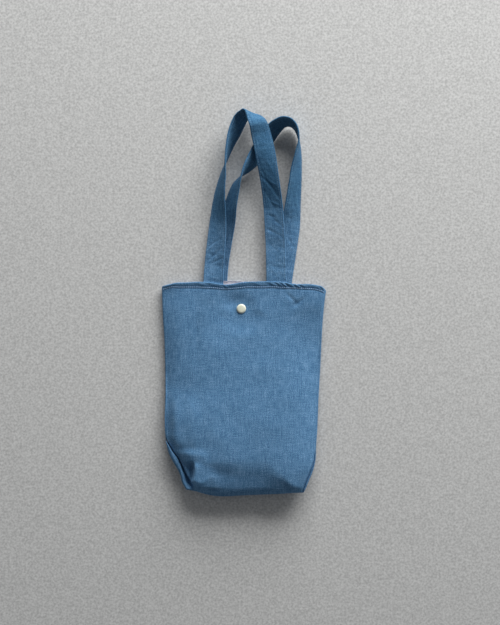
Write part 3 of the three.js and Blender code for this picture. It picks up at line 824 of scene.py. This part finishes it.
def studProfile():
    # flat flange with a softly rolled edge, and a waisted stud with a rounded head
    flange, neck, top = snap["flange"] / 2, snap["stud"] / 2, snap["flangeHeight"] + snap["studHeight"]
    return [(0.01, 0), (flange - 0.2, 0), (flange, 0.2), (flange, 0.45), (flange - 0.25, 0.65),
            (flange - 0.9, snap["flangeHeight"]), (neck + 0.5, 0.55), (neck - 0.2, 0.75),
            (neck - 0.3, 1.1), (neck - 0.05, 1.5), (neck, 1.85), (neck - 0.15, 2.25),
            (neck - 0.55, top - 0.05), (neck - 1.0, top), (0.01, top)]


def socketProfile():
    # well that takes the stud's head, in a ring that rises to a flange under the cloth
    flange, neck, top = snap["flange"] / 2, snap["stud"] / 2, snap["socketHeight"]
    return [(0.01, 1.85), (neck + 0.1, 1.85), (neck + 0.25, 1.6), (neck + 0.25, 0.3),
            (neck + 0.4, 0.05), (neck + 0.9, 0), (flange - 1.2, 0), (flange - 0.7, 0.2),
            (flange - 0.6, 0.6), (flange - 0.65, top - 0.7), (flange - 0.2, top - 0.5),
            (flange, top - 0.25), (flange - 0.1, top), (0.01, top)]


capFront = turned("snap_cap_front", capProfile(snap["capDome"]), snap["frontSeat"], 1, creamEnamel)
capBack = turned("snap_cap_back", capProfile(snap["backDome"]), snap["backDome"], -1, creamEnamel)
studPiece = turned("snap_stud", studProfile(), snap["flangeBottom"], 1, nickel)
socketPiece = turned("snap_socket", socketProfile(), snap["socketBottom"], 1, nickel)
print("press stud made")


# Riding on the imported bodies


def bend(piece):
    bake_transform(piece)


for piece in (outerFrontLeft, liningFrontLeft, hemLeftStitches):
    bend(piece)
for piece in (outerFrontRight, liningFrontRight, hemRightStitches):
    bend(piece)
for piece in (frontStrap, frontStitches):
    bend(piece)
for piece in (backStrap, backStitches):
    bend(piece)
for piece in (outerBack, liningBackPanel, hemBackStitches, studPiece, capBack):
    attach(piece, "back")
for piece in (capFront, socketPiece):
    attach(piece, "front")

for piece, node, finish in (
        (outerFrontLeft, "outer_front", "linen"), (outerFrontRight, "outer_front", "linen"),
        (outerBack, "outer_back", "linen"), (liningFrontLeft, "lining_front", "cotton"),
        (liningFrontRight, "lining_front", "cotton"), (liningBackPanel, "lining_back", "cotton"),
        (frontStrap, "front_handle", "linen"), (backStrap, "back_handle", "linen"),
        (capFront, "front_snap_cap", "snap_cap"), (capBack, "back_snap_cap", "snap_cap"),
        (socketPiece, "front_snap_socket", "snap_metal"), (studPiece, "back_snap_stud", "snap_metal")):
    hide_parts(node)


# Studio

studio = {
    # metres and watts, but for the floor: its half width and its level are in mm
    "floor": "#cfcfcd", "floorReach": 6000, "floorLevel": -0.6,
    "cameraHeight": 2.2, "imageHeight": 0.78125, "picture": (500, 625), "centre": (0.00625, 0.095),
    "filmMm": 24, "key": (0.85, 2.6, 1.0), "aim": (-0.1, 0, 0), "keySize": (3.0, 1.4), "keyPower": 152,
    "sky": "#eef1f6", "fill": 0.175,
}


def backdropCloth(name, tone):
    # Heavy plain-weave backdrop cloth: pale grey, matt, flecked by its uneven yarns
    material, tree = newMaterial(name)
    place = addNode(tree, "ShaderNodeTexCoord").outputs["Object"]
    flecks = addNode(tree, "ShaderNodeTexNoise", {"Scale": 380.0, "Detail": 2.0, "Roughness": 0.6},
                     {"Vector": place})
    colour = addNode(tree, "ShaderNodeValToRGB", {}, {"Fac": flecks.outputs["Fac"]})
    for stop, position, level in zip(colour.color_ramp.elements, (0.3, 0.7), (0.8, 1.2)):
        stop.position, stop.color = position, tuple(level * c for c in linear(tone)[:3]) + (1,)
    shader = addNode(tree, "ShaderNodeBsdfPrincipled", {"Roughness": 0.9, "Specular IOR Level": 0.1},
                     {"Base Color": colour.outputs["Color"]})
    addNode(tree, "ShaderNodeOutputMaterial", {}, {"Surface": shader.outputs[0]})
    return material


def addStudio():
    reach, level = studio["floorReach"], studio["floorLevel"]
    corners = [(-reach, -reach, level), (reach, -reach, level), (reach, reach, level), (-reach, reach, level)]
    cloth = backdropCloth("backdropCloth", studio["floor"])
    floor = addPiece("floor", np.array(corners), np.array([[0, 1, 2, 3]]), cloth)
    scene = bpy.context.scene
    world = scene.world or bpy.data.worlds.new("studioWorld")
    scene.world = world
    world.use_nodes = True
    nodes = world.node_tree.nodes
    background = nodes.get("Background") or nodes.new("ShaderNodeBackground")
    background.inputs["Color"].default_value = linear(studio["sky"])
    background.inputs["Strength"].default_value = studio["fill"]

    lamp = bpy.data.lights.new("keyLamp", "AREA")
    lamp.shape = "RECTANGLE"
    lamp.size, lamp.size_y = studio["keySize"]
    lamp.energy = studio["keyPower"]
    key = bpy.data.objects.new("keyLamp", lamp)
    key.location = studio["key"]
    aim = np.array(studio["aim"]) - np.array(studio["key"])
    tilt, turn = math.acos(-aim[2] / np.linalg.norm(aim)), math.atan2(aim[1], aim[0]) - math.pi / 2
    key.rotation_euler = (tilt, 0, turn)
    scene.collection.objects.link(key)

    lens = bpy.data.cameras.new("photoCamera")
    wide, high = studio["picture"]
    lens.sensor_fit = "VERTICAL"
    lens.sensor_height = studio["filmMm"]
    lens.sensor_width = studio["filmMm"] * wide / high
    lens.lens = studio["filmMm"] * studio["cameraHeight"] / studio["imageHeight"]
    camera = bpy.data.objects.new("photoCamera", lens)
    camera.location = (*studio["centre"], studio["cameraHeight"])
    scene.collection.objects.link(camera)
    scene.camera = camera
    scene.view_settings.view_transform = "Standard"


addStudio()
print("studio made")
